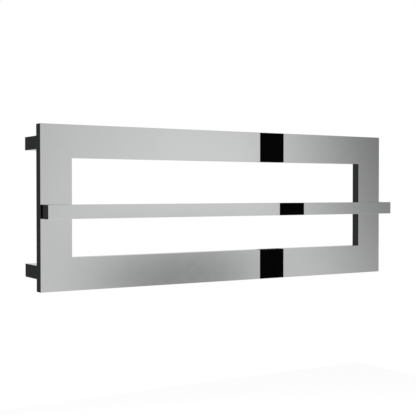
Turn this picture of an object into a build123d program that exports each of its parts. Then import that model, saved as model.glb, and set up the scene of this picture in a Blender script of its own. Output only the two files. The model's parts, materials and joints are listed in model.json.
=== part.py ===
from build123d import *
import os

# Wall-hung hot-water towel warmer rack: a flat-tube frame with one square towel bar in front of it,
# standing off the wall on four square legs that slide over anchors and are clamped by grub screws.
# Millimetres. +X is to the right seen from the front, -Y is the front, +Z is up.
# The origin is the centre of the four wall fixings, on the face of the wall (Y = 0).

# Frame: flat steel tube with mitred corners
FRAME_LENGTH = 800.0
FRAME_HEIGHT = 300.0
TUBE_WIDTH = 60.0
TUBE_DEPTH = 20.0
WALL = 1.5
EDGE_RADIUS = 0.3
INNER_RADIUS = 0.3

# Towel bar: square tube in front of the frame, closed by welded end caps, on two bored black blocks
BAR_SIZE = 25.0
BAR_Z = -6.5
BAR_GAP = 12.0
CAP_THICKNESS = 2.0
SPACER_LENGTH = 25.0
SPACER_BORE_RADIUS = 6.0

# Black bands, flush with the tubes, over a coupler that joins the two lengths of each tube
RAIL_BAND_X = 74.0
RAIL_BAND_LENGTH = 60.0
BAR_BAND_X = 97.0
BAR_BAND_LENGTH = 62.0
COUPLER_OVERLAP = 15.0
BRAZE_GAP = 0.05
BAFFLE_THICKNESS = 2.0

# Legs, wall anchors and grub screws
LEG_SIZE = 25.0
LEG_LENGTH = 100.0
LEG_WALL = 3.0
LEG_X = 371.5
LEG_Z = 119.5
ANCHOR_CLEARANCE = 0.1
ANCHOR_LENGTH = 45.0
ANCHOR_BORE_RADIUS = 3.25
ANCHOR_SINK_RADIUS = 6.0
ANCHOR_SINK_DEPTH = 6.0
ADJUSTMENT = 12.0
GRUB_Y = -20.0
GRUB_RADIUS = 2.45
GRUB_HOLE_RADIUS = 2.5
GRUB_LENGTH = 4.0
GRUB_HEX = 2.5
GRUB_HEX_DEPTH = 2.0
GROOVE_WIDTH = 6.0
GROOVE_DEPTH = 1.0
GROOVE_END_PLAY = 0.5
CONTACT_PLAY = 0.05

# Half-inch pipe-thread bosses behind the frame
PORT_X = 330.0
PORT_RADIUS = 9.3155
PORT_DEPTH = 15.0
PORT_CHAMFER = 1.0
BOSS_RADIUS = 13.5
BOSS_STANDOFF = 14.0
BOSS_HEIGHT = 38.0
WATERWAY_RADIUS = 7.0
INLET_RADIUS = 6.0
WATERWAY_DEPTH = 28.0
WATERWAY_RISE = 21.0
PLUG_BOSS_LENGTH = 12.0
PLUG_BOSS_Z = 122.0

# Plugs in the two upper bosses
SHANK_PLAY = 0.03
SHANK_LENGTH = 9.0
SEAL_THICKNESS = 1.5
SEAL_RADIUS = 12.0
FLANGE_RADIUS = 12.5
FLANGE_THICKNESS = 4.0
FLANGE_HEX = 22.0
BLANK_HEX = 10.0
BLANK_HEX_DEPTH = 6.0

# Air vent in the right-hand plug
NOSE_RADIUS = 6.0
NOSE_LENGTH = 6.0
SCREW_RADIUS = 3.0
RUNNING_PLAY = 0.05
SEAT_RADIUS = 1.5
PLUG_BORE_RADIUS = 5.0
SCREW_TIP_LENGTH = 1.5
SCREW_HEAD_RADIUS = 7.0
SCREW_HEAD_THICKNESS = 1.5
SCREW_KEY = 5.0
SCREW_KEY_LENGTH = 5.0
OUTLET_RADIUS = 9.0
OUTLET_WIDTH = 5.6
OUTLET_PLAY = 0.1
SPOUT_RADIUS = 2.6
SPOUT_BORE_RADIUS = 1.2
SPOUT_REACH = 17.0
VENT_HOLE_RADIUS = 0.8
VENT_GROOVE_DEPTH = 0.8
VENT_GROOVE_WIDTH = 3.2

# Planes worked out from the sizes above
FRAME_BACK = -LEG_LENGTH
FRAME_FRONT = FRAME_BACK - TUBE_DEPTH
FRAME_Y = (FRAME_BACK + FRAME_FRONT) / 2
BAR_BACK = FRAME_FRONT - BAR_GAP
BAR_Y = BAR_BACK - BAR_SIZE / 2
HALF_LENGTH = FRAME_LENGTH / 2
HALF_HEIGHT = FRAME_HEIGHT / 2
SPACER_X = HALF_LENGTH - SPACER_LENGTH / 2
WINDOW_HALF_LENGTH = HALF_LENGTH - TUBE_WIDTH
WINDOW_HALF_HEIGHT = HALF_HEIGHT - TUBE_WIDTH
STILE_X = HALF_LENGTH - TUBE_WIDTH / 2
RAIL_Z = HALF_HEIGHT - TUBE_WIDTH / 2
RAIL_BAND_END = RAIL_BAND_X + RAIL_BAND_LENGTH
BAR_BAND_END = BAR_BAND_X + BAR_BAND_LENGTH
ANCHOR_SIZE = LEG_SIZE - 2 * LEG_WALL - 2 * ANCHOR_CLEARANCE
PLUG_BOSS_FACE = FRAME_BACK + PLUG_BOSS_LENGTH
FLANGE_Y = PLUG_BOSS_FACE + SEAL_THICKNESS
NOSE_Y = FLANGE_Y + FLANGE_THICKNESS
NOSE_END = NOSE_Y + NOSE_LENGTH
VENT_HOLE_Y = NOSE_Y + NOSE_LENGTH / 2

SIDES = {"left": -1, "right": 1}
LEVELS = {"upper": 1, "lower": -1}


def ring(width, height, wall):
    """Section of a tube with softened corners."""
    inner = RectangleRounded(width - 2 * wall, height - 2 * wall, INNER_RADIUS)
    return RectangleRounded(width, height, EDGE_RADIUS) - inner


def along_x(section, x_from, x_to, y, z):
    """Extrude a section drawn in (Y, Z) between two X planes."""
    plane = Plane(origin=(x_from, y, z), x_dir=(0, 1, 0), z_dir=(1, 0, 0))
    return extrude(plane * section, amount=x_to - x_from)


def along_y(section, y_from, y_to, x, z):
    """Extrude a section drawn in (X, Z) between two Y planes."""
    plane = Plane(origin=(x, y_from, z), x_dir=(1, 0, 0), z_dir=(0, 1, 0))
    return extrude(plane * section, amount=y_to - y_from)


def along_z(section, z_from, z_to, x, y):
    """Extrude a section drawn in (X, Y) between two Z planes."""
    return extrude(Pos(x, y, z_from) * section, amount=z_to - z_from)


def hexagon(across_flats):
    """Regular hexagon of a given size across its flats."""
    return RegularPolygon(across_flats / 2, 6, major_radius=False)


def frame_outline(*corners):
    """Prism through the frame's depth, for the mitre cuts; corners are (X, Z)."""
    face = Plane.XZ * Polygon(*corners, align=None)
    return extrude(face, amount=-FRAME_FRONT, both=True)


def save(name, shape):
    """Write one piece as its own file."""
    shape.label = name
    export_step(shape, f"parts/{name}.step")


def make_stiles():
    """Upright tubes, mitred at both ends, with a water hole in front for the bar spacer."""
    for side, sign in SIDES.items():
        tube = along_z(ring(TUBE_WIDTH, TUBE_DEPTH, WALL), -HALF_HEIGHT, HALF_HEIGHT, sign * STILE_X, FRAME_Y)
        outline = frame_outline(
            (sign * HALF_LENGTH, -HALF_HEIGHT),
            (sign * HALF_LENGTH, HALF_HEIGHT),
            (sign * WINDOW_HALF_LENGTH, WINDOW_HALF_HEIGHT),
            (sign * WINDOW_HALF_LENGTH, -WINDOW_HALF_HEIGHT),
        )
        hole = along_y(Circle(SPACER_BORE_RADIUS), FRAME_FRONT, FRAME_FRONT + WALL, sign * SPACER_X, BAR_Z)
        save(f"{side}_stile", (tube & outline) - hole)


def make_rails():
    """Level tubes, each in a left and a right length that stop at the black band."""
    holes = {"top": (PLUG_BOSS_Z, PORT_RADIUS), "bottom": (WATERWAY_RISE - HALF_HEIGHT, INLET_RADIUS)}
    for level, up in {"top": 1, "bottom": -1}.items():
        for side, sign in SIDES.items():
            inner_end = RAIL_BAND_END if sign > 0 else RAIL_BAND_X
            ends = sorted((sign * HALF_LENGTH, inner_end))
            tube = along_x(ring(TUBE_DEPTH, TUBE_WIDTH, WALL), *ends, FRAME_Y, up * RAIL_Z)
            outline = frame_outline(
                (sign * HALF_LENGTH, up * HALF_HEIGHT),
                (inner_end, up * HALF_HEIGHT),
                (inner_end, up * WINDOW_HALF_HEIGHT),
                (sign * WINDOW_HALF_LENGTH, up * WINDOW_HALF_HEIGHT),
            )
            hole_z, hole_radius = holes[level]
            hole = along_y(Circle(hole_radius), FRAME_BACK - WALL, FRAME_BACK, sign * PORT_X, hole_z)
            save(f"{level}_rail_{side}", (tube & outline) - hole)


def make_rail_bands():
    """Black sleeves flush with the rails, each over the coupler that joins the two lengths."""
    inside = 2 * WALL + 2 * BRAZE_GAP
    for level, up in {"top": 1, "bottom": -1}.items():
        sleeve = ring(TUBE_DEPTH, TUBE_WIDTH, WALL)
        save(f"{level}_band", along_x(sleeve, RAIL_BAND_X, RAIL_BAND_END, FRAME_Y, up * RAIL_Z))
        coupler = ring(TUBE_DEPTH - inside, TUBE_WIDTH - inside, WALL)
        ends = (RAIL_BAND_X - COUPLER_OVERLAP, RAIL_BAND_END + COUPLER_OVERLAP)
        save(f"{level}_coupler", along_x(coupler, *ends, FRAME_Y, up * RAIL_Z))


def make_flow_baffle():
    """Plate across the bottom coupler: water has to go up one stile and down the other."""
    inside = 4 * WALL + 2 * BRAZE_GAP
    plate = RectangleRounded(TUBE_DEPTH - inside, TUBE_WIDTH - inside, INNER_RADIUS)
    middle = (RAIL_BAND_X + RAIL_BAND_END) / 2
    half = BAFFLE_THICKNESS / 2
    save("flow_baffle", along_x(plate, middle - half, middle + half, FRAME_Y, -RAIL_Z))


def make_towel_bar():
    """Square bar in two lengths with its band, coupler, end caps and the bored blocks that carry it."""
    tube_end = HALF_LENGTH - CAP_THICKNESS
    lengths = {"left": (-tube_end, BAR_BAND_X), "right": (BAR_BAND_END, tube_end)}
    tube = ring(BAR_SIZE, BAR_SIZE, WALL)
    for side, sign in SIDES.items():
        hole = along_y(Circle(SPACER_BORE_RADIUS), BAR_BACK - WALL, BAR_BACK, sign * SPACER_X, BAR_Z)
        save(f"towel_bar_{side}", along_x(tube, *lengths[side], BAR_Y, BAR_Z) - hole)
        plate = RectangleRounded(BAR_SIZE, BAR_SIZE, EDGE_RADIUS)
        ends = sorted((sign * tube_end, sign * HALF_LENGTH))
        save(f"bar_end_cap_{side}", along_x(plate, *ends, BAR_Y, BAR_Z))
        spacer = RectangleRounded(SPACER_LENGTH, BAR_SIZE, EDGE_RADIUS) - Circle(SPACER_BORE_RADIUS)
        save(f"bar_spacer_{side}", along_y(spacer, BAR_BACK, FRAME_FRONT, sign * SPACER_X, BAR_Z))
    save("bar_band", along_x(tube, BAR_BAND_X, BAR_BAND_END, BAR_Y, BAR_Z))
    coupler_size = BAR_SIZE - 2 * WALL - 2 * BRAZE_GAP
    coupler = ring(coupler_size, coupler_size, WALL)
    ends = (BAR_BAND_X - COUPLER_OVERLAP, BAR_BAND_END + COUPLER_OVERLAP)
    save("bar_coupler", along_x(coupler, *ends, BAR_Y, BAR_Z))


def leg(x, z):
    """Square tube from the frame to the wall, tapped underneath for the grub screw."""
    tube = along_y(ring(LEG_SIZE, LEG_SIZE, LEG_WALL), FRAME_BACK, 0, x, z)
    underside = z - LEG_SIZE / 2
    return tube - along_z(Circle(GRUB_HOLE_RADIUS), underside, underside + LEG_WALL, x, GRUB_Y)


def wall_anchor(x, z):
    """Square spigot screwed to the wall; the groove underneath stops the leg sliding off."""
    block = along_y(RectangleRounded(ANCHOR_SIZE, ANCHOR_SIZE, EDGE_RADIUS), -ANCHOR_LENGTH, 0, x, z)
    bore = along_y(Circle(ANCHOR_BORE_RADIUS), -ANCHOR_LENGTH, 0, x, z)
    sink = along_y(Circle(ANCHOR_SINK_RADIUS), -ANCHOR_LENGTH, ANCHOR_SINK_DEPTH - ANCHOR_LENGTH, x, z)
    play = GRUB_RADIUS + GROOVE_END_PLAY
    groove_length = ADJUSTMENT + 2 * play
    underside = z - ANCHOR_SIZE / 2
    groove = along_z(
        Rectangle(GROOVE_WIDTH, groove_length), underside, underside + GROOVE_DEPTH, x, GRUB_Y - ADJUSTMENT / 2
    )
    return block - bore - sink - groove


def grub_screw(x, z):
    """Cup-point set screw with a hexagon socket, level with the underside of the leg."""
    tip = z - ANCHOR_SIZE / 2 + GROOVE_DEPTH - CONTACT_PLAY
    body = along_z(Circle(GRUB_RADIUS), tip - GRUB_LENGTH, tip, x, GRUB_Y)
    socket = along_z(hexagon(GRUB_HEX), tip - GRUB_LENGTH, tip - GRUB_LENGTH + GRUB_HEX_DEPTH, x, GRUB_Y)
    return body - socket


def make_wall_fixings():
    """Leg, anchor and grub screw at each corner."""
    for level, up in LEVELS.items():
        for side, sign in SIDES.items():
            place = (sign * LEG_X, up * LEG_Z)
            save(f"leg_{level}_{side}", leg(*place))
            save(f"wall_anchor_{level}_{side}", wall_anchor(*place))
            save(f"grub_screw_{level}_{side}", grub_screw(*place))


def arched_section():
    """Section of a connection boss: flat against the frame, round away from it."""
    right = (BOSS_RADIUS, 0)
    left = (-BOSS_RADIUS, 0)
    sides = Polyline(left, (-BOSS_RADIUS, -BOSS_STANDOFF), (BOSS_RADIUS, -BOSS_STANDOFF), right)
    return make_face(sides + ThreePointArc(right, (0, BOSS_RADIUS), left))


def make_connection_bosses():
    """Water ports behind the bottom rail: pipe thread from below, passage into the rail."""
    centre_y = FRAME_BACK + BOSS_STANDOFF
    bottom = -HALF_HEIGHT
    for side, sign in SIDES.items():
        x = sign * PORT_X
        body = along_z(arched_section(), bottom, bottom + BOSS_HEIGHT, x, centre_y)
        thread = along_z(Circle(PORT_RADIUS), bottom, bottom + PORT_DEPTH, x, centre_y)
        mouth = Pos(x, centre_y, bottom + PORT_CHAMFER / 2) * Cone(
            PORT_RADIUS + PORT_CHAMFER, PORT_RADIUS, PORT_CHAMFER
        )
        rise = along_z(Circle(WATERWAY_RADIUS), bottom, bottom + WATERWAY_DEPTH, x, centre_y)
        inlet = along_y(Circle(INLET_RADIUS), FRAME_BACK, centre_y, x, bottom + WATERWAY_RISE)
        save(f"connection_boss_{side}", body - thread - mouth - rise - inlet)


def make_plug_bosses():
    """Threaded rings and seals behind the top rail: vent on the right, blanking plug on the left."""
    for name, x in {"vent": PORT_X, "blanking": -PORT_X}.items():
        boss = Circle(BOSS_RADIUS) - Circle(PORT_RADIUS)
        save(f"{name}_boss", along_y(boss, FRAME_BACK, PLUG_BOSS_FACE, x, PLUG_BOSS_Z))
        seal = Circle(SEAL_RADIUS) - Circle(PORT_RADIUS)
        save(f"{name}_seal", along_y(seal, PLUG_BOSS_FACE, FLANGE_Y, x, PLUG_BOSS_Z))


def make_blanking_plug():
    """Threaded plug with a round flange and a hexagon socket."""
    x = -PORT_X
    shank = along_y(Circle(PORT_RADIUS - SHANK_PLAY), PLUG_BOSS_FACE - SHANK_LENGTH, FLANGE_Y, x, PLUG_BOSS_Z)
    flange = along_y(Circle(FLANGE_RADIUS), FLANGE_Y, NOSE_Y, x, PLUG_BOSS_Z)
    socket = along_y(hexagon(BLANK_HEX), NOSE_Y - BLANK_HEX_DEPTH, NOSE_Y, x, PLUG_BOSS_Z)
    save("blanking_plug", shank + flange - socket)


def make_vent_plug():
    """Threaded plug with a hexagon flange and a nose that holds the bleed screw."""
    x = PORT_X
    z = PLUG_BOSS_Z
    chamber_radius = SCREW_RADIUS + RUNNING_PLAY
    shank = along_y(Circle(PORT_RADIUS - SHANK_PLAY), PLUG_BOSS_FACE - SHANK_LENGTH, FLANGE_Y, x, z)
    flange = along_y(hexagon(FLANGE_HEX), FLANGE_Y, NOSE_Y, x, z)
    nose = along_y(Circle(NOSE_RADIUS), NOSE_Y, NOSE_END, x, z)
    bore = along_y(Circle(PLUG_BORE_RADIUS), PLUG_BOSS_FACE - SHANK_LENGTH, PLUG_BOSS_FACE, x, z)
    seat = along_y(Circle(SEAT_RADIUS), PLUG_BOSS_FACE, FLANGE_Y, x, z)
    chamber = along_y(Circle(chamber_radius), FLANGE_Y, NOSE_END, x, z)
    side_hole = along_z(Circle(VENT_HOLE_RADIUS), z, z + NOSE_RADIUS, x, VENT_HOLE_Y)
    save("vent_plug", shank + flange + nose - bore - seat - chamber - side_hole)


def make_bleed_screw():
    """Screw that closes the vent, with a cone tip, a retaining head and a square key."""
    x = PORT_X
    z = PLUG_BOSS_Z
    shaft_from = FLANGE_Y + RUNNING_PLAY + SCREW_TIP_LENGTH
    head_from = NOSE_END + RUNNING_PLAY
    head_to = head_from + SCREW_HEAD_THICKNESS
    tip_plane = Plane(origin=(x, shaft_from, z), x_dir=(1, 0, 0), z_dir=(0, -1, 0))
    tip = tip_plane * Cone(
        SCREW_RADIUS, SEAT_RADIUS, SCREW_TIP_LENGTH, align=(Align.CENTER, Align.CENTER, Align.MIN)
    )
    shaft = along_y(Circle(SCREW_RADIUS), shaft_from, head_from, x, z)
    head = along_y(Circle(SCREW_HEAD_RADIUS), head_from, head_to, x, z)
    key = along_y(Rectangle(SCREW_KEY, SCREW_KEY), head_to, head_to + SCREW_KEY_LENGTH, x, z)
    save("bleed_screw", tip + shaft + head + key)


def make_vent_outlet():
    """Ring that turns on the nose, with a groove inside and a small spout pointing down."""
    x = PORT_X
    z = PLUG_BOSS_Z
    half = OUTLET_WIDTH / 2
    ends = (VENT_HOLE_Y - half, VENT_HOLE_Y + half)
    hole = Circle(NOSE_RADIUS + OUTLET_PLAY)
    collar = along_y(Circle(OUTLET_RADIUS), *ends, x, z)
    spout = along_z(Circle(SPOUT_RADIUS), z - SPOUT_REACH, z, x, VENT_HOLE_Y)
    groove_ends = (VENT_HOLE_Y - VENT_GROOVE_WIDTH / 2, VENT_HOLE_Y + VENT_GROOVE_WIDTH / 2)
    groove = along_y(Circle(NOSE_RADIUS + OUTLET_PLAY + VENT_GROOVE_DEPTH), *groove_ends, x, z)
    bore = along_z(Circle(SPOUT_BORE_RADIUS), z - SPOUT_REACH, z, x, VENT_HOLE_Y)
    save("vent_outlet", collar + spout - along_y(hole, *ends, x, z) - groove - bore)


os.makedirs("parts", exist_ok=True)
make_stiles()
make_rails()
make_rail_bands()
make_flow_baffle()
make_towel_bar()
make_wall_fixings()
make_connection_bosses()
make_plug_bosses()
make_blanking_plug()
make_vent_plug()
make_bleed_screw()
make_vent_outlet()
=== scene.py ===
import json
import math

import bmesh
import bpy
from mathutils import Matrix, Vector


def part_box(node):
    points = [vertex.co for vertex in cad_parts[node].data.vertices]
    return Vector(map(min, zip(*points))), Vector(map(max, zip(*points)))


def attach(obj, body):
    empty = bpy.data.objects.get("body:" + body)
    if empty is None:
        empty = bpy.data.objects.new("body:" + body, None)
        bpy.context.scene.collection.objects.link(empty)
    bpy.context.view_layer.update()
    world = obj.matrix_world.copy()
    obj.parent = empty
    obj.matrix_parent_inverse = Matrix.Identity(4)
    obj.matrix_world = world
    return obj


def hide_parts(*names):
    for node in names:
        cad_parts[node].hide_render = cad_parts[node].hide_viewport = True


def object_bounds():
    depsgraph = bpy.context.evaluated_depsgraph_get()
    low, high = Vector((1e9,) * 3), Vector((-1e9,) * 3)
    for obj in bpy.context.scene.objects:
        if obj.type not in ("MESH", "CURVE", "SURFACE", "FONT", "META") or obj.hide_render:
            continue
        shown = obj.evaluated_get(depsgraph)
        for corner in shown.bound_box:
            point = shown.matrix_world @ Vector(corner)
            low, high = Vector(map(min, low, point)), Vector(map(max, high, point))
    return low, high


# A wall-hung towel radiator in the CAD's own frame: metres, +Z up, the front faces -Y, the wall is at Y = 0.
# The tubes, legs and anchors keep their CAD meshes and get finishes. The small fittings are replaced by
# detailed meshes of the same size, and weld beads are added on the frame's back.
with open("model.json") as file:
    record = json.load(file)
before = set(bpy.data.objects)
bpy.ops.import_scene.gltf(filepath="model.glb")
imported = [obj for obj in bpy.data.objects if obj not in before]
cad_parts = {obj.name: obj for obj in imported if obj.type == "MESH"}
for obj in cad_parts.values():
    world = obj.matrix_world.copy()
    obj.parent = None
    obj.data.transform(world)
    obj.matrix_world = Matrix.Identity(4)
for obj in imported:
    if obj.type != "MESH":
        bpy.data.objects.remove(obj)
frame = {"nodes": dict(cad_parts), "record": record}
cad_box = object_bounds()
scene = bpy.context.scene
nodes = frame["nodes"]
record = frame["record"]

MM = 0.001
MICRON = 0.000001
CORNERS = [(level, side) for level in ("upper", "lower") for side in ("left", "right")]
SIDES = ("left", "right")


def middle(node):
    """Centre of a CAD node's box."""
    low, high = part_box(node)
    return (Vector(low) + Vector(high)) / 2


def size(node):
    """Size of a CAD node's box."""
    low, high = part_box(node)
    return Vector(high) - Vector(low)


# Plane that the added pieces stand on
FRAME_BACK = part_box("left_stile")[1][1]

# ---------------------------------------------------------------- camera
CAMERA_PLACE = Vector((-0.9727, -1.6035, 0.0294))
CAMERA_YAW = math.radians(31.84)
CAMERA_PITCH = math.radians(-1.07)
CAMERA_LENS = 76.52
SENSOR = 36.0
CLIP_NEAR = 0.05
CLIP_FAR = 60.0


def make_camera():
    """Long lens, left of the rack and level with it, looking to the right along the frame."""
    data = bpy.data.cameras.new("camera")
    data.lens = CAMERA_LENS
    data.sensor_width = SENSOR
    data.clip_start = CLIP_NEAR
    data.clip_end = CLIP_FAR
    camera = bpy.data.objects.new("camera", data)
    look = Vector((
        math.sin(CAMERA_YAW) * math.cos(CAMERA_PITCH),
        math.cos(CAMERA_YAW) * math.cos(CAMERA_PITCH),
        math.sin(CAMERA_PITCH),
    ))
    camera.location = CAMERA_PLACE
    camera.rotation_mode = "QUATERNION"
    camera.rotation_quaternion = look.to_track_quat("-Z", "Y")
    scene.collection.objects.link(camera)
    scene.camera = camera


# ---------------------------------------------------------------- node graphs
# Sockets of the Mix node in its colour mode
MIX_FACTOR = 0
MIX_FIRST = 6
MIX_SECOND = 7
MIX_RESULT = 2


class Graph:
    """Short way to wire nodes in a node tree."""

    def __init__(self, tree):
        self.tree = tree

    def node(self, kind, **settings):
        made = self.tree.nodes.new(kind)
        for name, value in settings.items():
            setattr(made, name, value)
        return made

    def put(self, socket, value):
        if isinstance(value, bpy.types.NodeSocket):
            self.tree.links.new(value, socket)
        else:
            socket.default_value = value

    def math(self, operation, *inputs):
        made = self.node("ShaderNodeMath", operation=operation)
        for socket, value in zip(made.inputs, inputs):
            self.put(socket, value)
        return made.outputs[0]

    def dot(self, vector, direction):
        made = self.node("ShaderNodeVectorMath", operation="DOT_PRODUCT")
        self.tree.links.new(vector, made.inputs[0])
        made.inputs[1].default_value = direction
        return made.outputs["Value"]

    def blend(self, factor, first, second):
        """Colour between two colours."""
        made = self.node("ShaderNodeMix", data_type="RGBA")
        self.put(made.inputs[MIX_FACTOR], factor)
        made.inputs[MIX_FIRST].default_value = (*first, 1)
        made.inputs[MIX_SECOND].default_value = (*second, 1)
        return made.outputs[MIX_RESULT]

    def remap(self, value, old_range, new_range):
        """Value carried from one range to another, and held at its ends."""
        made = self.node("ShaderNodeMapRange")
        self.put(made.inputs["Value"], value)
        for name, number in zip(("From Min", "From Max", "To Min", "To Max"), old_range + new_range):
            made.inputs[name].default_value = number
        return made.outputs[0]


# ---------------------------------------------------------------- studio
# The room's light is even, cooler at the back, and never quite dark. Soft lobes of light (positive) and flags
# (negative) are laid over it: azimuth from the front towards +X, elevation, half-width, half-height (all in
# degrees) and strength.
WHITE = (1, 1, 1, 1)
ROOM_LEVEL = 0.40
ROOM_DARKEST = 0.030
FRONT_TINT = (0.995, 1.0, 0.998)
BACK_TINT = (0.985, 0.985, 1.04)
LOBES = {
    "front wash": (33, -40, 14.5, 42, 0.74),
    "right flag": (43.5, 5, 6, 21, -0.36),
    "low flag, right": (32, -5.7, 4.5, 3.5, -0.41),
    "low flag, left": (27, -6.3, 4, 3.5, -0.27),
    "left key": (-62, 30, 26, 24, 1.20),
    "back wash": (152, 9, 22, 8, 0.42),
    "back strip": (160, -7, 12, 4, 0.60),
    "rear wash": (149, -18, 11, 9, 0.32),
    "rear flag": (125, -18, 9, 12, -0.24),
    "front glow": (-9, 2, 10, 18, 0.26),
    "side wash": (-34, -16, 11, 22, 0.28),
    "side flag": (-56, -16, 10, 22, -0.18),
    "left flag": (-150, 0, 34, 34, -0.46),
    "right key": (92, 24, 16, 24, 0.70),
    "overhead": (0, 90, 60, 20, 0.60),
}


def lobe(g, direction, elevation, azimuth, height, half_width, half_height):
    """Bell-shaped falloff, 1 at the lobe's middle, of a direction in the room."""
    a = math.radians(azimuth)
    ahead = g.dot(direction, (math.sin(a), -math.cos(a), 0))
    aside = g.dot(direction, (math.cos(a), math.sin(a), 0))
    turn = g.math("DEGREES", g.math("ARCTAN2", aside, ahead))
    across = g.math("POWER", g.math("DIVIDE", g.math("ABSOLUTE", turn), half_width), 2.0)
    lift = g.math("ABSOLUTE", g.math("SUBTRACT", elevation, height))
    along = g.math("POWER", g.math("DIVIDE", lift, half_height), 2.0)
    return g.math("EXPONENT", g.math("MULTIPLY", g.math("ADD", across, along), -1.0))


def make_world():
    """Studio round the rack: soft lobes for reflections, plain white behind the rack."""
    world = bpy.data.worlds.new("studio")
    scene.world = world
    world.use_nodes = True
    tree = world.node_tree
    tree.nodes.clear()
    g = Graph(tree)
    direction = g.node("ShaderNodeTexCoord").outputs["Generated"]
    elevation = g.math("DEGREES", g.math("ARCSINE", g.dot(direction, (0, 0, 1))))
    total = ROOM_LEVEL
    for *place, strength in LOBES.values():
        total = g.math("MULTIPLY_ADD", lobe(g, direction, elevation, *place), strength, total)
    backwards = g.math("MAXIMUM", g.dot(direction, (0, 1, 0)), 0.0)
    room = g.node("ShaderNodeBackground")
    g.put(room.inputs["Color"], g.blend(backwards, FRONT_TINT, BACK_TINT))
    g.put(room.inputs["Strength"], g.math("MAXIMUM", total, ROOM_DARKEST))
    white = g.node("ShaderNodeBackground")
    white.inputs["Color"].default_value = WHITE
    mix = g.node("ShaderNodeMixShader")
    tree.links.new(g.node("ShaderNodeLightPath").outputs["Is Camera Ray"], mix.inputs[0])
    tree.links.new(room.outputs[0], mix.inputs[1])
    tree.links.new(white.outputs[0], mix.inputs[2])
    out = g.node("ShaderNodeOutputWorld")
    tree.links.new(mix.outputs[0], out.inputs["Surface"])


FLOOR_DROP = 1.25
FLOOR_HALF = 4.0
FLOOR_FADE = (0.8, 2.8)
FLOOR_GLOW = (0.16, 0.50)
FLOOR_COLOUR = (0.86, 0.86, 0.855, 1)
FLOOR_ROUGHNESS = 0.9


def make_floor():
    """Plain pale floor well below the rack, which hangs on a wall; it fades to white outwards."""
    z = cad_box[0][2] - FLOOR_DROP
    h = FLOOR_HALF
    mesh = bpy.data.meshes.new("floor")
    mesh.from_pydata([(-h, -h, z), (h, -h, z), (h, h, z), (-h, h, z)], [], [(0, 1, 2, 3)])
    floor = bpy.data.objects.new("floor", mesh)
    scene.collection.objects.link(floor)
    material, g, shader = new_material("pale_floor")
    shader.inputs["Base Color"].default_value = FLOOR_COLOUR
    shader.inputs["Roughness"].default_value = FLOOR_ROUGHNESS
    shader.inputs["Emission Color"].default_value = WHITE
    place = g.node("ShaderNodeTexCoord").outputs["Object"]
    radius = g.math("SQRT", g.math("ADD", g.math("POWER", g.dot(place, (1, 0, 0)), 2.0),
                                   g.math("POWER", g.dot(place, (0, 1, 0)), 2.0)))
    g.put(shader.inputs["Emission Strength"], g.remap(radius, FLOOR_FADE, FLOOR_GLOW))
    mesh.materials.append(material)
    floor.visible_glossy = False


# Soft boxes: place (m), width (m), power (W)
LIGHTS = {
    "key_light": ((-2.2, -2.4, 1.9), 1.6, 45.0),
    "fill_light": ((2.6, -1.8, 1.6), 1.4, 22.0),
    "back_light": ((0.4, 2.4, 1.4), 1.6, 30.0),
}


def make_lights():
    """Large soft boxes for the parts that aren't polished; the room's lobes light the polished ones."""
    for name, (place, width, power) in LIGHTS.items():
        data = bpy.data.lights.new(name, "AREA")
        data.size = width
        data.energy = power
        light = bpy.data.objects.new(name, data)
        light.location = place
        light.rotation_mode = "QUATERNION"
        light.rotation_quaternion = (-Vector(place)).to_track_quat("-Z", "Y")
        light.visible_glossy = False
        scene.collection.objects.link(light)


# ---------------------------------------------------------------- materials
def new_material(name):
    material = bpy.data.materials.new(name)
    material.use_nodes = True
    return material, Graph(material.node_tree), material.node_tree.nodes["Principled BSDF"]


def pattern(g, scale, detail, stretch=(1, 1, 1)):
    """Noise laid over the part in its own metres; a stretch under 1 draws it out along that axis."""
    place = g.node("ShaderNodeTexCoord").outputs["Object"]
    mapping = g.node("ShaderNodeMapping")
    mapping.inputs["Scale"].default_value = stretch
    g.put(mapping.inputs["Vector"], place)
    noise = g.node("ShaderNodeTexNoise")
    g.put(noise.inputs["Vector"], mapping.outputs[0])
    noise.inputs["Scale"].default_value = scale
    noise.inputs["Detail"].default_value = detail
    return noise.outputs["Fac"]


# Range that holds nearly all of a noise pattern's values
NOISE_RANGE = (0.3, 0.7)


def spread(g, value, low, high):
    """Map a noise value, which stays near the middle, to a range."""
    return g.remap(value, NOISE_RANGE, (low, high))


def shade(g, value, dark, light):
    """Blend two colours by a noise value."""
    return g.blend(spread(g, value, 0.0, 1.0), dark, light)


def relief(g, shader, height, depth):
    """Fine bumps of a height pattern, with their depth in micrometres."""
    bump = g.node("ShaderNodeBump")
    bump.inputs["Strength"].default_value = 1.0
    bump.inputs["Distance"].default_value = depth * MICRON
    g.put(bump.inputs["Height"], height)
    g.put(shader.inputs["Normal"], bump.outputs[0])


def polished_chrome():
    """Chrome over polished steel: faint clouding and the finest polishing marks."""
    material, g, shader = new_material("polished_chrome")
    shader.inputs["Metallic"].default_value = 1.0
    clouds = pattern(g, scale=14.0, detail=3.0)
    marks = pattern(g, scale=55.0, detail=4.0)
    g.put(shader.inputs["Base Color"], shade(g, clouds, (0.893, 0.900, 0.899), (0.907, 0.911, 0.911)))
    g.put(shader.inputs["Roughness"], spread(g, marks, 0.05, 0.08))
    relief(g, shader, pattern(g, scale=1600.0, detail=2.0), depth=0.4)
    return material


def black_enamel():
    """Stoved black enamel with a faint orange peel."""
    material, g, shader = new_material("black_enamel")
    clouds = pattern(g, scale=60.0, detail=3.0)
    g.put(shader.inputs["Base Color"], shade(g, clouds, (0.0004, 0.0004, 0.0004), (0.0010, 0.0010, 0.0011)))
    g.put(shader.inputs["Roughness"], spread(g, clouds, 0.28, 0.36))
    shader.inputs["Specular IOR Level"].default_value = 0.02
    relief(g, shader, pattern(g, scale=420.0, detail=2.0), depth=4.0)
    return material


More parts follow.
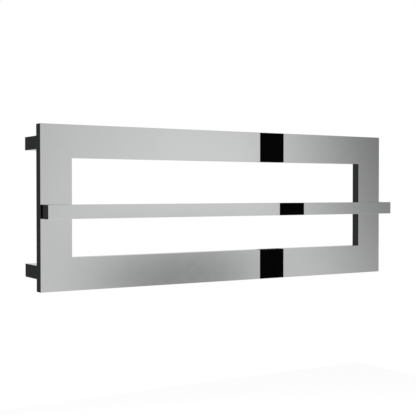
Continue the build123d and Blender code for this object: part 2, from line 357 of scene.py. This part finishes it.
def drawn_steel():
    """Bare inner tube with drawing lines along its length."""
    material, g, shader = new_material("drawn_steel")
    shader.inputs["Metallic"].default_value = 1.0
    lines = pattern(g, scale=900.0, detail=3.0, stretch=(0.04, 1, 1))
    g.put(shader.inputs["Base Color"], shade(g, lines, (0.46, 0.46, 0.47), (0.58, 0.58, 0.59)))
    g.put(shader.inputs["Roughness"], spread(g, lines, 0.30, 0.45))
    relief(g, shader, lines, depth=10.0)
    return material


def zinc_plate():
    """Bright zinc with a cloudy passivated tone."""
    material, g, shader = new_material("zinc_plate")
    shader.inputs["Metallic"].default_value = 1.0
    clouds = pattern(g, scale=180.0, detail=4.0)
    g.put(shader.inputs["Base Color"], shade(g, clouds, (0.56, 0.58, 0.62), (0.70, 0.70, 0.69)))
    g.put(shader.inputs["Roughness"], spread(g, pattern(g, scale=420.0, detail=3.0), 0.28, 0.46))
    relief(g, shader, pattern(g, scale=1500.0, detail=2.0), depth=6.0)
    return material


def black_oxide():
    """Blackened hardened steel, worn a little lighter on its high spots."""
    material, g, shader = new_material("black_oxide")
    shader.inputs["Metallic"].default_value = 1.0
    specks = pattern(g, scale=2200.0, detail=4.0)
    g.put(shader.inputs["Base Color"], shade(g, specks, (0.030, 0.030, 0.034), (0.085, 0.085, 0.090)))
    g.put(shader.inputs["Roughness"], spread(g, specks, 0.30, 0.48))
    relief(g, shader, specks, depth=6.0)
    return material


def plated_brass():
    """Nickel-plated turned brass with fine tool marks round its axis, which lies along Y."""
    material, g, shader = new_material("plated_brass")
    shader.inputs["Metallic"].default_value = 1.0
    clouds = pattern(g, scale=320.0, detail=3.0)
    marks = pattern(g, scale=5200.0, detail=2.0, stretch=(0.05, 1, 0.05))
    g.put(shader.inputs["Base Color"], shade(g, clouds, (0.74, 0.72, 0.68), (0.82, 0.81, 0.78)))
    g.put(shader.inputs["Roughness"], spread(g, marks, 0.14, 0.26))
    relief(g, shader, marks, depth=2.0)
    return material


def seal_rubber():
    """Black sealing rubber with a dusty bloom."""
    material, g, shader = new_material("seal_rubber")
    bloom = pattern(g, scale=700.0, detail=4.0)
    g.put(shader.inputs["Base Color"], shade(g, bloom, (0.016, 0.016, 0.017), (0.040, 0.040, 0.042)))
    g.put(shader.inputs["Roughness"], spread(g, bloom, 0.55, 0.75))
    relief(g, shader, pattern(g, scale=2600.0, detail=2.0), depth=12.0)
    return material


def moulded_plastic():
    """White moulded plastic with a fine eroded texture."""
    material, g, shader = new_material("moulded_plastic")
    tone = pattern(g, scale=240.0, detail=3.0)
    g.put(shader.inputs["Base Color"], shade(g, tone, (0.80, 0.80, 0.785), (0.86, 0.86, 0.85)))
    g.put(shader.inputs["Roughness"], spread(g, pattern(g, scale=900.0, detail=2.0), 0.34, 0.48))
    relief(g, shader, pattern(g, scale=3000.0, detail=3.0), depth=10.0)
    return material


FINISHES = {
    "chrome": polished_chrome(),
    "black_gloss": black_enamel(),
    "inner_steel": drawn_steel(),
    "zinc_steel": zinc_plate(),
    "black_oxide": black_oxide(),
    "plated_brass": plated_brass(),
    "seal_rubber": seal_rubber(),
    "outlet_plastic": moulded_plastic(),
}


def finish_cad_nodes():
    """Give every carried-over CAD node the finish of its slot."""
    for row in record["subparts"]:
        mesh = nodes[row["node"]].data
        mesh.materials.clear()
        mesh.materials.append(FINISHES[row["material_slot"]])


# ---------------------------------------------------------------- mesh helpers (sizes in millimetres)
X_AXIS = Vector((1, 0, 0))
Y_AXIS = Vector((0, 1, 0))
Z_AXIS = Vector((0, 0, 1))
FULL_TURN = 2 * math.pi

# Angles (degrees) above which an edge is shown sharp
SHARP_TURNED = 24.0
SHARP_THREADED = 40.0
SHARP_BEAD = 50.0
SHARP_SEAM = 60.0
SHARP_MOULDED = 75.0


def add_piece(name, points, faces, body, slot, sharp=SHARP_TURNED):
    """Make a closed mesh, smooth except at sharp edges, that rides on a body."""
    mesh = bpy.data.meshes.new(name)
    mesh.from_pydata(points, [], faces)
    mesh.materials.append(FINISHES[slot])
    work = bmesh.new()
    work.from_mesh(mesh)
    bmesh.ops.recalc_face_normals(work, faces=work.faces)
    work.to_mesh(mesh)
    work.free()
    mesh.shade_smooth()
    mesh.set_sharp_from_angle(angle=math.radians(sharp))
    piece = bpy.data.objects.new(name, mesh)
    scene.collection.objects.link(piece)
    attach(piece, body)
    return piece


def skin(rings, closed=False):
    """Points and faces of a skin over rings of equal length; a skin that isn't closed gets flat ends."""
    count = len(rings[0])
    points = [tuple(p) for ring in rings for p in ring]
    faces = []
    for i in range(len(rings) if closed else len(rings) - 1):
        a = i * count
        b = (i + 1) % len(rings) * count
        for k in range(count):
            n = (k + 1) % count
            faces.append((a + k, a + n, b + n, b + k))
    if not closed:
        faces.append(tuple(range(count)))
        faces.append(tuple(range(len(points) - count, len(points))))
    return points, faces


def turned(stations, centre, axis, side, angles):
    """Rings round an axis: a station is (height, radius), and a radius may be a function of the angle."""
    other = axis.cross(side)
    rings = []
    for height, radius in stations:
        ring = []
        for a in angles:
            r = radius(a) if callable(radius) else radius
            ring.append(centre + axis * height * MM + (side * math.cos(a) + other * math.sin(a)) * r * MM)
        rings.append(ring)
    return rings


def round_angles(count, corners=()):
    """Evenly spaced angles, with any corners that must be hit exactly in place of those beside them."""
    step = FULL_TURN / count
    even = [k * step for k in range(count)]
    kept = [a for a in even if all(abs(a - c) > step / 4 for c in corners)]
    return sorted(kept + list(corners))


def polygon(flats, sides, softness=0.15):
    """Radius, by angle, of a regular polygon with softened corners; a flat faces angle 0."""
    limit = flats / 2 / math.cos(math.pi / sides) - softness
    sector = FULL_TURN / sides

    def radius(angle):
        turn = (angle + sector / 2) % sector - sector / 2
        return min(flats / 2 / math.cos(turn), limit)

    return radius


def plus(radius, extra):
    """The same outline, larger or smaller all round."""
    return lambda angle: radius(angle) + extra


def within(radius, limit):
    """The same outline, cut back by a circle."""
    return lambda angle: min(radius(angle), limit)


def beyond(radius, least):
    """The same outline, opened out by a circle."""
    return lambda angle: max(radius(angle), least)


ROUND_STEPS = 4


def rounded_edge(height, radius, bevel, upward):
    """Stations of a quarter-round edge from the wall to the end face; upward is +1 or -1 along the axis."""
    made = []
    for k in range(ROUND_STEPS + 1):
        a = math.pi / 2 * k / ROUND_STEPS
        drop = bevel * (1 - math.sin(a))
        cut = bevel * (1 - math.cos(a))
        edge = plus(radius, -cut) if callable(radius) else radius - cut
        made.append((height - upward * drop, edge))
    return made


def thread(crest, depth, pitch, height):
    """Radius, by angle, of a rounded screw thread at one height."""
    return lambda angle: crest - depth * (0.5 + 0.5 * math.cos(FULL_TURN * height / pitch - angle))


# ---------------------------------------------------------------- water ports
# Half-inch pipe thread, the port that it is cut in and the waterway above it
PIPE_MINOR = 9.3155
PIPE_MAJOR = 10.4775
PIPE_PITCH = 1.814
PORT_DEPTH = 15.0
WATERWAY_RADIUS = 7.0
WATERWAY_DEPTH = 28.0
WATERWAY_LEAD = 0.4
MOUTH_RADIUS = 10.65
BOSS_EDGE = 0.6
BOSS_STEPS = 96
THREAD_STEPS = 10


def arched(half_width, standoff):
    """Radius, by angle, of a boss that is flat against the frame (-Y) and round away from it."""

    def radius(angle):
        across = abs(math.cos(angle))
        towards_frame = -math.sin(angle)
        if towards_frame <= 0:
            return half_width
        reach = standoff / towards_frame
        return min(reach, half_width / across) if across > 0 else reach

    return radius


def make_connection_boss(side):
    """Port body with a real half-inch pipe thread from below and a plain waterway above it."""
    node = f"connection_boss_{side}"
    low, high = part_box(node)
    half_width = size(node).x / 2 / MM
    standoff = size(node).y / MM - half_width
    top = size(node).z / MM
    centre = Vector((middle(node).x, high[1] - half_width * MM, low[2]))
    outline = arched(half_width, standoff)
    corner = math.atan2(standoff, half_width)
    angles = round_angles(BOSS_STEPS, (math.pi + corner, FULL_TURN - corner))
    stations = [(WATERWAY_DEPTH, WATERWAY_RADIUS), (PORT_DEPTH + WATERWAY_LEAD, WATERWAY_RADIUS)]
    count = round(PORT_DEPTH / PIPE_PITCH * THREAD_STEPS)
    groove = PIPE_MAJOR - PIPE_MINOR
    for k in range(count + 1):
        height = PORT_DEPTH * (1 - k / count)
        run_in = min(1.0, (PORT_DEPTH - height) / PIPE_PITCH)
        cut = thread(PIPE_MINOR + groove * run_in, groove * run_in, PIPE_PITCH, height)
        stations.append((height, beyond(cut, MOUTH_RADIUS - height)))
    stations += reversed(rounded_edge(0.0, outline, BOSS_EDGE, -1))
    stations += rounded_edge(top, outline, BOSS_EDGE, 1)
    rings = turned(stations, centre, Z_AXIS, X_AXIS, angles)
    piece = add_piece(f"water_port_{side}", *skin(rings), "radiator", "chrome", SHARP_THREADED)
    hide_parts(node)


# ---------------------------------------------------------------- upper bosses, plugs and air vent
RING_STEPS = 72
RING_ANGLES = round_angles(RING_STEPS)
BOSS_LENGTH = 12.0
BOSS_RADIUS = 13.5
RING_EDGE = 0.8
MOUTH_CHAMFER = 1.0
SEAL_THICKNESS = 1.5
SEAL_INNER = 9.35
SEAL_OUTER = 11.75
SEAL_BULGE = 0.25
SEAL_STEPS = 8
FLANGE_TOP = 5.5
SHANK_END = -9.0
SHANK_RADIUS = 9.285
SHANK_LEAD = 0.8


def plug_centre(node):
    """Point on the axis of an upper boss, level with the boss's free end."""
    place = middle(node)
    return Vector((place.x, FRAME_BACK + BOSS_LENGTH * MM, place.z))


def make_boss_ring(name, node):
    """Short boss with rounded and chamfered ends; its bore stands at the thread's minor radius."""
    stations = [(-BOSS_LENGTH, PIPE_MINOR), (-BOSS_LENGTH, BOSS_RADIUS)]
    stations += rounded_edge(0.0, BOSS_RADIUS, RING_EDGE, 1)
    stations += [(0.0, PIPE_MINOR + MOUTH_CHAMFER), (-MOUTH_CHAMFER, PIPE_MINOR)]
    rings = turned(stations, plug_centre(node), Y_AXIS, Z_AXIS, RING_ANGLES)
    piece = add_piece(name, *skin(rings, closed=True), "radiator", "chrome")
    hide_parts(node)


def make_seal(name, node):
    """Flat rubber ring squeezed to a slight bulge."""
    stations = []
    for k in range(SEAL_STEPS + 1):
        a = math.pi * k / SEAL_STEPS
        height = SEAL_THICKNESS / 2 * (1 - math.cos(a))
        stations.append((height, SEAL_OUTER + SEAL_BULGE * math.sin(a)))
    stations += [(SEAL_THICKNESS, SEAL_INNER), (0.0, SEAL_INNER)]
    rings = turned(stations, plug_centre(node), Y_AXIS, Z_AXIS, RING_ANGLES)
    piece = add_piece(name, *skin(rings, closed=True), "radiator", "seal_rubber")
    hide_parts(node)


def shank():
    """Stations of a plug's shank, from its chamfered end to the seal."""
    return [
        (SHANK_END, SHANK_RADIUS - SHANK_LEAD),
        (SHANK_END + SHANK_LEAD, SHANK_RADIUS),
        (SEAL_THICKNESS, SHANK_RADIUS),
    ]


# Air vent: a hexagon with a washer face below it and a turned nose on top
HEXAGON = 6
VENT_FLATS = 22.0
WASHER_RADIUS = 10.4
WASHER_HEIGHT = 0.25
NUT_CHAMFER = 1.3
NUT_CROWN = 0.955
NUT_SLOPE = math.sqrt(3)
NUT_STEPS = 6
NOSE_TOP = 11.5
NOSE_RADIUS = 6.0
NOSE_EDGE = 0.4
NOSE_FOOT = 0.12
CHAMBER_RADIUS = 3.05


def nut_end(flats, face, upward):
    """Stations of a hexagon's end, its corners turned away at a slope, from the flats to the face."""
    outline = polygon(flats, HEXAGON)
    made = []
    for k in range(NUT_STEPS, -1, -1):
        back = NUT_CHAMFER * k / NUT_STEPS
        cone = flats / 2 * NUT_CROWN + back * NUT_SLOPE
        made.append((face - upward * back, within(outline, cone)))
    return made


def make_vent_plug():
    """Hexagon plug with chamfered corners and a turned nose that holds the bleed screw."""
    washer_top = SEAL_THICKNESS + WASHER_HEIGHT
    stations = shank()
    stations += [(SEAL_THICKNESS, WASHER_RADIUS), (washer_top, WASHER_RADIUS)]
    stations += reversed(nut_end(VENT_FLATS, washer_top, -1))
    stations += nut_end(VENT_FLATS, FLANGE_TOP, 1)
    stations += [(FLANGE_TOP, NOSE_RADIUS + NOSE_EDGE), (FLANGE_TOP + NOSE_FOOT, NOSE_RADIUS)]
    stations += rounded_edge(NOSE_TOP, NOSE_RADIUS, NOSE_EDGE, 1)
    stations += [(NOSE_TOP, CHAMBER_RADIUS), (SEAL_THICKNESS, CHAMBER_RADIUS)]
    rings = turned(stations, plug_centre("vent_boss"), Y_AXIS, Z_AXIS, RING_ANGLES)
    piece = add_piece("vent_plug_body", *skin(rings), "radiator", "plated_brass")
    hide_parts("vent_plug")


# Blanking plug: a round flange with a rim, a shallow dish inside it and a hexagon socket, whose drill point
# is given as (height, radius)
BLANK_RADIUS = 12.5
BLANK_LOWER_EDGE = 0.4
BLANK_UPPER_EDGE = 0.7
RIM_RADIUS = 9.4
DISH_RADIUS = 9.1
DISH_MIDDLE = 7.4
DISH_DEPTH = 0.25
SOCKET_FLATS = 10.0
SOCKET_SOFTNESS = 0.2
SOCKET_LEAD = 0.5
DRILL_POINT = ((-0.5, 4.2), (-1.8, 0.6))


def make_blanking_plug():
    """Round plug with a turned rim and a hexagon socket."""
    socket = polygon(SOCKET_FLATS, HEXAGON, SOCKET_SOFTNESS)
    dish = FLANGE_TOP - DISH_DEPTH
    stations = shank()
    stations += reversed(rounded_edge(SEAL_THICKNESS, BLANK_RADIUS, BLANK_LOWER_EDGE, -1))
    stations += rounded_edge(FLANGE_TOP, BLANK_RADIUS, BLANK_UPPER_EDGE, 1)
    stations += [(FLANGE_TOP, RIM_RADIUS), (dish, DISH_RADIUS), (dish, DISH_MIDDLE)]
    stations += [(dish, plus(socket, SOCKET_LEAD)), (dish - SOCKET_LEAD, socket), (0.0, socket)]
    stations += DRILL_POINT
    rings = turned(stations, plug_centre("blanking_boss"), Y_AXIS, Z_AXIS, RING_ANGLES)
    piece = add_piece("blanking_plug_body", *skin(rings), "radiator", "plated_brass")
    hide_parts("blanking_plug")


# Bleed screw: a cone tip, a plain shaft, a knurled collar over the nose and a square key; bevels and the
# key's foot are (along the axis, across it)
SCREW_PLAY = 0.05
SCREW_TIP_RADIUS = 1.5
SCREW_TIP_LENGTH = 1.5
SCREW_RADIUS = 3.0
COLLAR_RADIUS = 7.0
COLLAR_HEIGHT = 1.5
COLLAR_BEVEL = (0.25, 0.4)
KNURLS = 36
KNURL_DEPTH = 0.12
KNURL_STEPS = 6
SQUARE = 4
KEY_FLATS = 5.0
KEY_SOFTNESS = 0.25
KEY_TOP = 6.5
KEY_FOOT = (0.2, 0.5)
KEY_BEVEL = ((0.5, 0.0), (0.15, 0.25), (0.0, 0.6))


def knurled(angle):
    """Radius, by angle, of the bleed screw's collar."""
    return COLLAR_RADIUS - KNURL_DEPTH * (0.5 + 0.5 * math.cos(KNURLS * angle))


def make_bleed_screw():
    """Cone-tipped screw with a knurled retaining collar and a chamfered square key."""
    key = polygon(KEY_FLATS, SQUARE, KEY_SOFTNESS)
    tip = SEAL_THICKNESS + SCREW_PLAY
    base = NOSE_TOP + SCREW_PLAY
    collar_top = base + COLLAR_HEIGHT
    rise, cut = COLLAR_BEVEL
    foot_rise, foot_width = KEY_FOOT
    stations = [(tip, SCREW_TIP_RADIUS), (tip + SCREW_TIP_LENGTH, SCREW_RADIUS), (base, SCREW_RADIUS)]
    stations += [(base, COLLAR_RADIUS - cut), (base + rise, knurled)]
    stations += [(collar_top - rise, knurled), (collar_top, COLLAR_RADIUS - cut)]
    stations += [(collar_top, plus(key, foot_width)), (collar_top + foot_rise, key)]
    stations += [(base + KEY_TOP - drop, plus(key, -inset)) for drop, inset in KEY_BEVEL]
    angles = round_angles(KNURLS * KNURL_STEPS)
    rings = turned(stations, plug_centre("vent_boss"), Y_AXIS, Z_AXIS, angles)
    piece = add_piece("bleed_screw_body", *skin(rings), "bleed_screw", "plated_brass")
    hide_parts("bleed_screw")


# Vent outlet: voxel size of the moulding, and how far its corners are softened
VOXEL = 0.22
SMOOTHING = 0.5
SMOOTHING_STEPS = 4


def make_vent_outlet():
    """Moulded collar and spout that run into each other in one soft corner."""
    mesh = nodes["vent_outlet"].data.copy()
    mesh.name = "vent_outlet_moulding"
    draft = bpy.data.objects.new("vent_outlet_draft", mesh)
    scene.collection.objects.link(draft)
    remesh = draft.modifiers.new("remesh", "REMESH")
    remesh.mode = "VOXEL"
    remesh.voxel_size = VOXEL * MM
    soften = draft.modifiers.new("soften", "SMOOTH")
    soften.factor = SMOOTHING
    soften.iterations = SMOOTHING_STEPS
    graph = bpy.context.evaluated_depsgraph_get()
    done = bpy.data.meshes.new_from_object(draft.evaluated_get(graph))
    bpy.data.objects.remove(draft)
    points = [tuple(v.co) for v in done.vertices]
    faces = [tuple(f.vertices) for f in done.polygons]
    bpy.data.meshes.remove(done)
    piece = add_piece("vent_outlet_body", points, faces, "vent_outlet", "outlet_plastic", SHARP_MOULDED)
    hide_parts("vent_outlet")


# ---------------------------------------------------------------- grub screws
# Heights are from the cup point to the socket's face; the cup and the drill are (height or depth, radius)
GRUB_RADIUS = 2.45
GRUB_LENGTH = 4.0
GRUB_PITCH = 0.8
GRUB_GROOVE = 0.42
GRUB_STEPS = 60
GRUB_CUP = ((0.35, 0.7), (0.0, 1.35), (0.45, 2.0))
GRUB_START = 0.45
GRUB_RUN_OUT = 0.3
GRUB_FACE = 2.0
GRUB_FLATS = 2.5
GRUB_SOFTNESS = 0.05
GRUB_SOCKET_LEAD = 0.22
GRUB_SOCKET_DEPTH = 2.0
GRUB_DRILL = (2.4, 0.3)


def make_grub_screw(level, side):
    """Cup-point set screw: thread outside, hexagon socket at the lower end."""
    node = f"grub_screw_{level}_{side}"
    socket = polygon(GRUB_FLATS, HEXAGON, GRUB_SOFTNESS)
    tip = middle(node) + Z_AXIS * size(node).z / 2
    threaded = GRUB_LENGTH - GRUB_START - GRUB_RUN_OUT
    count = round(threaded / GRUB_PITCH * THREAD_STEPS)
    stations = list(GRUB_CUP)
    for k in range(count + 1):
        height = GRUB_START + threaded * k / count
        stations.append((height, thread(GRUB_RADIUS, GRUB_GROOVE, GRUB_PITCH, height)))
    stations += [(GRUB_LENGTH, GRUB_FACE), (GRUB_LENGTH, plus(socket, GRUB_SOCKET_LEAD))]
    stations += [(GRUB_LENGTH - GRUB_SOCKET_LEAD, socket), (GRUB_LENGTH - GRUB_SOCKET_DEPTH, socket)]
    drill_depth, drill_radius = GRUB_DRILL
    stations.append((GRUB_LENGTH - drill_depth, drill_radius))
    rings = turned(stations, tip, -Z_AXIS, X_AXIS, round_angles(GRUB_STEPS))
    piece = add_piece(f"set_screw_{level}_{side}", *skin(rings), node, "black_oxide", SHARP_THREADED)
    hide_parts(node)


# ---------------------------------------------------------------- weld beads on the frame's back
# Beads are walked in small steps; a ripple is one swell of the bead along its run
BEAD_STEP = 0.36
BEAD_RIPPLE = 1.9
BEAD_SWELL = 0.008
BEAD_SECTION_STEPS = 5
BEAD_SINK = 0.08
BEAD_CORNER = 0.3
BEAD_CORNER_STEPS = 4
LEG_BEAD = 2.2
BOSS_BEAD = 1.8
PORT_BEAD_END = 0.7


def bead_section(reach):
    """Section of a fillet weld, half way between flat and hollow: (outwards, off the frame)."""
    made = [(-BEAD_SINK, -BEAD_SINK), (-BEAD_SINK, reach)]
    for k in range(BEAD_SECTION_STEPS + 1):
        t = k / BEAD_SECTION_STEPS
        a = math.pi / 2 * t
        out = (1 - math.cos(a) + t) / 2
        off = (1 - math.sin(a) + 1 - t) / 2
        made.append((reach * out, reach * off))
    return made + [(reach, -BEAD_SINK)]


def run_path(start, end, margin):
    """Points along a straight run, with the outward side on the left."""
    run = Vector(end) - Vector(start)
    ahead = run.normalized()
    out = Vector((-ahead.y, ahead.x))
    length = run.length - 2 * margin
    count = max(1, round(length / BEAD_STEP))
    return [(Vector(start) + ahead * (margin + length * k / count), out) for k in range(count + 1)]


def cornered_path(corners, corner_radius, closed):
    """Points and outward directions along straight runs joined by small arcs, clockwise round the outline."""
    ends = list(zip(corners, corners[1:] + (corners[:1] if closed else [])))
    made = []
    for i, (start, end) in enumerate(ends):
        run = run_path(start, end, corner_radius)
        made += run
        if i + 1 < len(ends) or closed:
            following = ends[(i + 1) % len(ends)]
            next_out = run_path(*following, corner_radius)[0][1]
            hub = run[-1][0] - run[-1][1] * corner_radius
            for k in range(1, BEAD_CORNER_STEPS):
                out = run[-1][1].lerp(next_out, k / BEAD_CORNER_STEPS).normalized()
                made.append((hub + out * corner_radius, out))
    return made


def circle_path(radius):
    """Points and outward directions round a circle."""
    count = round(FULL_TURN * radius / BEAD_STEP)
    made = []
    for k in range(count):
        out = Vector((math.cos(FULL_TURN * k / count), math.sin(FULL_TURN * k / count)))
        made.append((out * radius, out))
    return made


def make_bead(name, centre, path, reach, closed=True):
    """Weld bead with faint ripples along a path drawn in (X, Z) on the frame's back."""
    section = bead_section(reach)
    rings = []
    travelled = 0.0
    before = path[0][0]
    for place, out in path:
        travelled += (place - before).length
        before = place
        swell = 1 + BEAD_SWELL * math.sin(FULL_TURN * travelled / BEAD_RIPPLE)
        ring = []
        for outwards, off in section:
            flat = place + out * outwards * (swell if outwards > 0 else 1)
            depth = off * (swell if off > 0 else 1)
            ring.append((centre.x + flat.x * MM, FRAME_BACK + depth * MM, centre.z + flat.y * MM))
        rings.append(ring)
    add_piece(name, *skin(rings, closed), "radiator", "chrome", SHARP_BEAD)


def make_beads():
    """Beads round the legs, the upper bosses and three sides of each water port."""
    for level, side in CORNERS:
        node = f"leg_{level}_{side}"
        half = size(node).x / 2 / MM
        corners = [(-half, -half), (-half, half), (half, half), (half, -half)]
        path = cornered_path(corners, BEAD_CORNER, True)
        make_bead(f"leg_weld_{level}_{side}", middle(node), path, LEG_BEAD)
    for node in ("vent_boss", "blanking_boss"):
        make_bead(f"{node}_weld", middle(node), circle_path(BOSS_RADIUS), BOSS_BEAD)
    for side in SIDES:
        node = f"connection_boss_{side}"
        half = size(node).x / 2 / MM
        top = size(node).z / MM
        corners = [(-half, PORT_BEAD_END), (-half, top), (half, top), (half, PORT_BEAD_END)]
        centre = Vector((middle(node).x, 0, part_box(node)[0][2]))
        path = cornered_path(corners, BEAD_CORNER, False)
        make_bead(f"water_port_weld_{side}", centre, path, BOSS_BEAD, closed=False)


# Ground seams start and end a little short of the mitre's corners, and swell up to full height there
SEAM_WIDTH = 2.6
SEAM_HEIGHT = 0.14
SEAM_START = 2.0
SEAM_END = 0.6
SEAM_HALF_STEPS = 3
SEAM_END_SWELL = 0.2
SEAM_TAPER_STEPS = 6


def seam_ring(place, across, swell):
    """Low rounded section across a seam, with one point sunk under it."""
    ring = []
    for j in range(-SEAM_HALF_STEPS, SEAM_HALF_STEPS + 1):
        u = j / SEAM_HALF_STEPS
        flat = place + across * u * SEAM_WIDTH / 2
        rise = SEAM_HEIGHT * swell * math.cos(math.pi / 2 * u) ** 2
        ring.append((flat.x * MM, FRAME_BACK + rise * MM, flat.y * MM))
    ring.append((place.x * MM, FRAME_BACK - BEAD_SINK * MM, place.y * MM))
    return ring


def make_mitre_seams():
    """Ground weld seams, hardly raised, along the mitres on the frame's back."""
    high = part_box("left_stile")[1]
    length = size("left_stile").x / MM * math.sqrt(2)
    count = round(length / BEAD_STEP)
    for level, up in (("upper", 1), ("lower", -1)):
        for side, sign in (("left", -1), ("right", 1)):
            outer = Vector((sign * cad_box[1][0] / MM, up * high[2] / MM))
            inward = Vector((-sign, -up)).normalized()
            across = Vector((-inward.y, inward.x))
            rings = []
            for k in range(count + 1):
                travelled = SEAM_START + (length - SEAM_START - SEAM_END) * k / count
                taper = min(1.0, SEAM_END_SWELL + min(k, count - k) / SEAM_TAPER_STEPS)
                swell = taper * (1 + BEAD_SWELL * math.sin(FULL_TURN * travelled / BEAD_RIPPLE))
                rings.append(seam_ring(outer + inward * travelled, across, swell))
            add_piece(f"mitre_seam_{level}_{side}", *skin(rings), "radiator", "chrome", SHARP_SEAM)


make_camera()
make_world()
make_floor()
make_lights()
scene.view_settings.view_transform = "Standard"
finish_cad_nodes()
for side in SIDES:
    make_connection_boss(side)
make_boss_ring("vent_boss_ring", "vent_boss")
make_boss_ring("blanking_boss_ring", "blanking_boss")
make_seal("vent_seal_ring", "vent_seal")
make_seal("blanking_seal_ring", "blanking_seal")
make_vent_plug()
make_blanking_plug()
make_bleed_screw()
make_vent_outlet()
for level, side in CORNERS:
    make_grub_screw(level, side)
make_beads()
make_mitre_seams()
